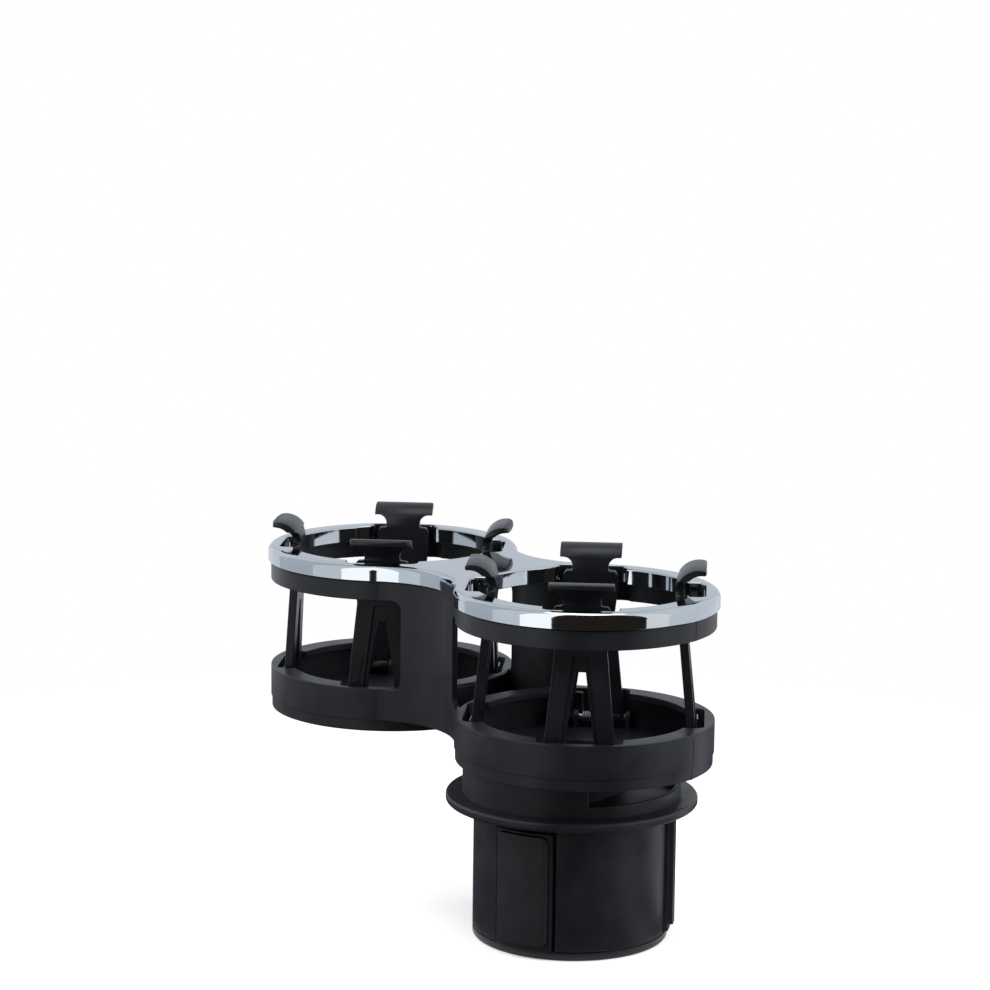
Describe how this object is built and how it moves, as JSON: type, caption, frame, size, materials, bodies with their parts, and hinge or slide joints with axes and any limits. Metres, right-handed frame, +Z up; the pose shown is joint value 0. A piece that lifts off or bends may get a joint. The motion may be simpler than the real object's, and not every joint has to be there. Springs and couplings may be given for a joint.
{
  "type": "car cup holder",
  "caption": "Twin cup holder for a car console: expanding plug with rubber-padded jaws, swivelling figure-eight tray with bright trim and sprung grip flaps.",
  "frame": {"origin": "centre of the plug's bottom face, on the plug's axis", "axes": "+Z up out of the console's well, +X from the outer cup towards the cup over the plug, +Y across the tray"},
  "size_m": [0.1976, 0.0918, 0.1323],
  "materials": {
    "body_plastic": "satin",
    "slider_plastic": "satin",
    "pad_rubber": "matte",
    "bright_plating": "polished",
    "fastener_steel": "satin",
    "spring_steel": "satin"
  },
  "bodies": {
    "plug": {"plug_shell": "body_plastic", "foot_plate": "body_plastic", "foot_screws": "fastener_steel", "swivel_washer": "fastener_steel", "swivel_screw": "fastener_steel"},
    "front_jaw": {"jaw_front": "body_plastic", "jaw_front_pad": "pad_rubber"},
    "right_jaw": {"jaw_right": "body_plastic", "jaw_right_pad": "pad_rubber"},
    "left_jaw": {"jaw_left": "body_plastic", "jaw_left_pad": "pad_rubber"},
    "ring": {"turning_ring": "body_plastic", "scroll_plate": "slider_plastic"},
    "tray": {"tray_body": "body_plastic", "top_trim": "bright_plating", "inner_pins": "fastener_steel", "outer_pins": "fastener_steel"},
    "inner_grip_1": {"inner_flap_1": "body_plastic", "inner_spring_1": "spring_steel"},
    "inner_grip_2": {"inner_flap_2": "body_plastic", "inner_spring_2": "spring_steel"},
    "inner_grip_3": {"inner_flap_3": "body_plastic", "inner_spring_3": "spring_steel"},
    "inner_grip_4": {"inner_flap_4": "body_plastic", "inner_spring_4": "spring_steel"},
    "outer_grip_1": {"outer_flap_1": "body_plastic", "outer_spring_1": "spring_steel"},
    "outer_grip_2": {"outer_flap_2": "body_plastic", "outer_spring_2": "spring_steel"},
    "outer_grip_3": {"outer_flap_3": "body_plastic", "outer_spring_3": "spring_steel"},
    "outer_grip_4": {"outer_flap_4": "body_plastic", "outer_spring_4": "spring_steel"}
  },
  "joints": [
    {"name": "ring_turn", "type": "hinge", "parent": "plug", "child": "ring", "pos_m": [0, 0, 0.0455], "axis": [0, 0, 1], "range_deg": [-21, 78]},
    {"name": "front_jaw_slide", "type": "slide", "parent": "plug", "child": "front_jaw", "axis": [0.3355, -0.9421, 0], "range_m": [-0.0012, 0.0044]},
    {"name": "right_jaw_slide", "type": "slide", "parent": "plug", "child": "right_jaw", "axis": [0.6481, 0.7615, 0], "range_m": [-0.0012, 0.0044]},
    {"name": "left_jaw_slide", "type": "slide", "parent": "plug", "child": "left_jaw", "axis": [-0.9836, 0.1805, 0], "range_m": [-0.0012, 0.0044]},
    {"name": "tray_swivel", "type": "hinge", "parent": "plug", "child": "tray", "pos_m": [0, 0, 0.056], "axis": [0, 0, 1], "continuous": true},
    {"name": "inner_flap_1_tilt", "type": "hinge", "parent": "tray", "child": "inner_grip_1", "pos_m": [0.03256, -0.02666, 0.0692], "axis": [0.7071, 0.7071, 0], "range_deg": [-6, 7], "stiffness_Nm_per_rad": 0.06, "springref_deg": -34.38},
    {"name": "inner_flap_2_tilt", "type": "hinge", "parent": "tray", "child": "inner_grip_2", "pos_m": [0.03256, 0.02666, 0.0692], "axis": [-0.7071, 0.7071, 0], "range_deg": [-6, 7], "stiffness_Nm_per_rad": 0.06, "springref_deg": -34.38},
    {"name": "inner_flap_3_tilt", "type": "hinge", "parent": "tray", "child": "inner_grip_3", "pos_m": [-0.02076, 0.02666, 0.0692], "axis": [-0.7071, -0.7071, 0], "range_deg": [-6, 7], "stiffness_Nm_per_rad": 0.06, "springref_deg": -34.38},
    {"name": "inner_flap_4_tilt", "type": "hinge", "parent": "tray", "child": "inner_grip_4", "pos_m": [-0.02076, -0.02666, 0.0692], "axis": [0.7071, -0.7071, 0], "range_deg": [-6, 7], "stiffness_Nm_per_rad": 0.06, "springref_deg": -34.38},
    {"name": "outer_flap_1_tilt", "type": "hinge", "parent": "tray", "child": "outer_grip_1", "pos_m": [-0.07324, -0.02666, 0.0692], "axis": [0.7071, 0.7071, 0], "range_deg": [-9, 4], "stiffness_Nm_per_rad": 0.06, "springref_deg": -37.24},
    {"name": "outer_flap_2_tilt", "type": "hinge", "parent": "tray", "child": "outer_grip_2", "pos_m": [-0.07324, 0.02666, 0.0692], "axis": [-0.7071, 0.7071, 0], "range_deg": [-9, 4], "stiffness_Nm_per_rad": 0.06, "springref_deg": -37.24},
    {"name": "outer_flap_3_tilt", "type": "hinge", "parent": "tray", "child": "outer_grip_3", "pos_m": [-0.12656, 0.02666, 0.0692], "axis": [-0.7071, -0.7071, 0], "range_deg": [-9, 4], "stiffness_Nm_per_rad": 0.06, "springref_deg": -37.24},
    {"name": "outer_flap_4_tilt", "type": "hinge", "parent": "tray", "child": "outer_grip_4", "pos_m": [-0.12656, -0.02666, 0.0692], "axis": [0.7071, -0.7071, 0], "range_deg": [-9, 4], "stiffness_Nm_per_rad": 0.06, "springref_deg": -37.24}
  ],
  "couplings": [
    {"joint": "front_jaw_slide", "follows": "ring_turn", "m_per_rad": 0.0032},
    {"joint": "right_jaw_slide", "follows": "ring_turn", "m_per_rad": 0.0032},
    {"joint": "left_jaw_slide", "follows": "ring_turn", "m_per_rad": 0.0032}
  ]
}
